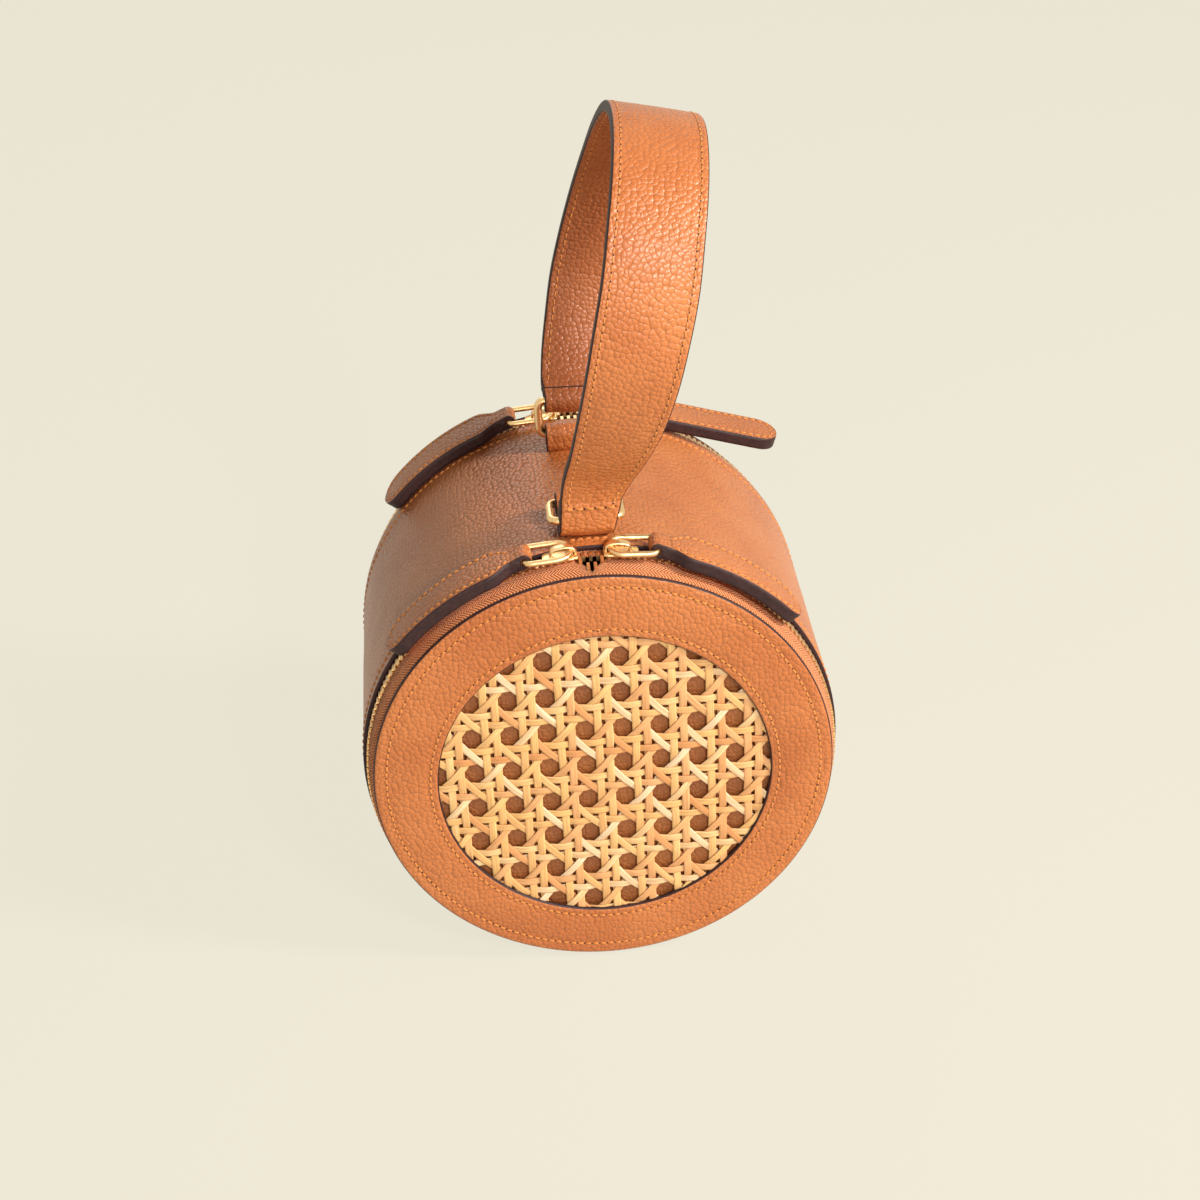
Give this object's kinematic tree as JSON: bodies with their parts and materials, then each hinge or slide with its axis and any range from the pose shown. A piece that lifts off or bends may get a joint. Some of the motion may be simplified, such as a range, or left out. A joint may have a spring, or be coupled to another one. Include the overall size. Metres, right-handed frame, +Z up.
{
  "type": "round handbag",
  "caption": "Round leather bag like a small drum on its side, with a zipped cane lid at each end and a strap handle on top.",
  "frame": {"origin": "centre of the footprint on the floor", "axes": "+Z up, -Y towards the front lid, +X to the right"},
  "size_m": [0.167, 0.1234, 0.3014],
  "materials": {
    "tan_leather": "pebbled, soft sheen",
    "brown_leather": "pebbled, matt",
    "cane": "natural, semi-gloss",
    "gold_metal": "polished pale gold plate",
    "zip_tape": "woven herringbone",
    "lining": "plain weave",
    "board": "plain"
  },
  "bodies": {
    "drum": {"drum_wall": "tan_leather", "drum_board": "board", "drum_lining": "lining", "front_body_tape": "zip_tape", "front_body_teeth": "gold_metal", "front_zip_stops": "gold_metal", "front_hinge_panel": "tan_leather", "front_handle_loop": "tan_leather", "back_body_tape": "zip_tape", "back_body_teeth": "gold_metal", "back_zip_stops": "gold_metal", "back_hinge_panel": "tan_leather", "back_handle_loop": "tan_leather"},
    "front_lid": {"front_lid_ring": "tan_leather", "front_cane_panel": "cane", "front_lid_backing": "brown_leather", "front_lid_board": "board", "front_lid_lining": "lining", "front_lid_tape": "zip_tape", "front_lid_teeth": "gold_metal"},
    "front_right_slider": {"front_right_slider": "gold_metal"},
    "front_right_pull_ring": {"front_right_pull_ring": "gold_metal"},
    "front_right_pull_tab": {"front_right_pull_tab": "tan_leather"},
    "front_left_slider": {"front_left_slider": "gold_metal"},
    "front_left_pull_ring": {"front_left_pull_ring": "gold_metal"},
    "front_left_pull_tab": {"front_left_pull_tab": "tan_leather"},
    "back_lid": {"back_lid_ring": "tan_leather", "back_cane_panel": "cane", "back_lid_backing": "brown_leather", "back_lid_board": "board", "back_lid_lining": "lining", "back_lid_tape": "zip_tape", "back_lid_teeth": "gold_metal"},
    "back_right_slider": {"back_right_slider": "gold_metal"},
    "back_right_pull_ring": {"back_right_pull_ring": "gold_metal"},
    "back_right_pull_tab": {"back_right_pull_tab": "tan_leather"},
    "back_left_slider": {"back_left_slider": "gold_metal"},
    "back_left_pull_ring": {"back_left_pull_ring": "gold_metal"},
    "back_left_pull_tab": {"back_left_pull_tab": "tan_leather"},
    "front_handle_ring": {"front_handle_ring": "gold_metal"},
    "back_handle_ring": {"back_handle_ring": "gold_metal"},
    "handle_strap": {"handle_strap": "tan_leather"}
  },
  "joints": [
    {"name": "front_lid_hinge", "type": "hinge", "parent": "drum", "child": "front_lid", "pos_m": [0, -0.0602, 0.0015], "axis": [1, 0, 0], "range_deg": [0, 35]},
    {"name": "front_right_slider_run", "type": "hinge", "parent": "drum", "child": "front_right_slider", "pos_m": [0, -0.0508, 0.08107], "axis": [0, 1, 0], "range_deg": [0, 100]},
    {"name": "front_right_ring_swing", "type": "hinge", "parent": "front_right_slider", "child": "front_right_pull_ring", "pos_m": [0.00681, -0.0508, 0.1659], "axis": [0, -1, 0], "range_deg": [0, 50]},
    {"name": "front_right_tab_swing", "type": "hinge", "parent": "front_right_pull_ring", "child": "front_right_pull_tab", "pos_m": [0.02228, -0.0508, 0.16486], "axis": [0, -1, 0], "range_deg": [0, 95]},
    {"name": "front_left_slider_run", "type": "hinge", "parent": "drum", "child": "front_left_slider", "pos_m": [0, -0.0508, 0.08107], "axis": [0, -1, 0], "range_deg": [0, 100]},
    {"name": "front_left_ring_swing", "type": "hinge", "parent": "front_left_slider", "child": "front_left_pull_ring", "pos_m": [-0.00681, -0.0508, 0.1659], "axis": [0, 1, 0], "range_deg": [0, 50]},
    {"name": "front_left_tab_swing", "type": "hinge", "parent": "front_left_pull_ring", "child": "front_left_pull_tab", "pos_m": [-0.02228, -0.0508, 0.16486], "axis": [0, 1, 0], "range_deg": [0, 95]},
    {"name": "back_lid_hinge", "type": "hinge", "parent": "drum", "child": "back_lid", "pos_m": [0, 0.0602, 0.0015], "axis": [-1, 0, 0], "range_deg": [0, 35]},
    {"name": "back_right_slider_run", "type": "hinge", "parent": "drum", "child": "back_right_slider", "pos_m": [0, 0.0508, 0.08107], "axis": [0, 1, 0], "range_deg": [0, 100]},
    {"name": "back_right_ring_swing", "type": "hinge", "parent": "back_right_slider", "child": "back_right_pull_ring", "pos_m": [0.00681, 0.0508, 0.1659], "axis": [0, -1, 0], "range_deg": [0, 50]},
    {"name": "back_right_tab_swing", "type": "hinge", "parent": "back_right_pull_ring", "child": "back_right_pull_tab", "pos_m": [0.02228, 0.0508, 0.16486], "axis": [0, -1, 0], "range_deg": [-2, 86]},
    {"name": "back_left_slider_run", "type": "hinge", "parent": "drum", "child": "back_left_slider", "pos_m": [0, 0.0508, 0.08107], "axis": [0, -1, 0], "range_deg": [0, 100]},
    {"name": "back_left_ring_swing", "type": "hinge", "parent": "back_left_slider", "child": "back_left_pull_ring", "pos_m": [-0.00681, 0.0508, 0.1659], "axis": [0, 1, 0], "range_deg": [0, 50]},
    {"name": "back_left_tab_swing", "type": "hinge", "parent": "back_left_pull_ring", "child": "back_left_pull_tab", "pos_m": [-0.02228, 0.0508, 0.16486], "axis": [0, 1, 0], "range_deg": [0, 95]},
    {"name": "front_ring_tilt", "type": "hinge", "parent": "drum", "child": "front_handle_ring", "pos_m": [0, -0.0257, 0.17007], "axis": [-1, 0, 0], "range_deg": [0, 60]},
    {"name": "strap_tilt", "type": "hinge", "parent": "front_handle_ring", "child": "handle_strap", "pos_m": [0, -0.0389, 0.17037], "axis": [1, 0, 0], "range_deg": [0, 47.9]},
    {"name": "back_ring_tilt", "type": "hinge", "parent": "drum", "child": "back_handle_ring", "pos_m": [0, 0.0257, 0.17007], "axis": [-1, 0, 0], "range_deg": [0, 33.3]}
  ],
  "couplings": [
    {"joint": "front_ring_tilt", "follows": "strap_tilt", "ratio": 1.2514},
    {"joint": "back_ring_tilt", "follows": "strap_tilt", "ratio": 0.6939}
  ]
}
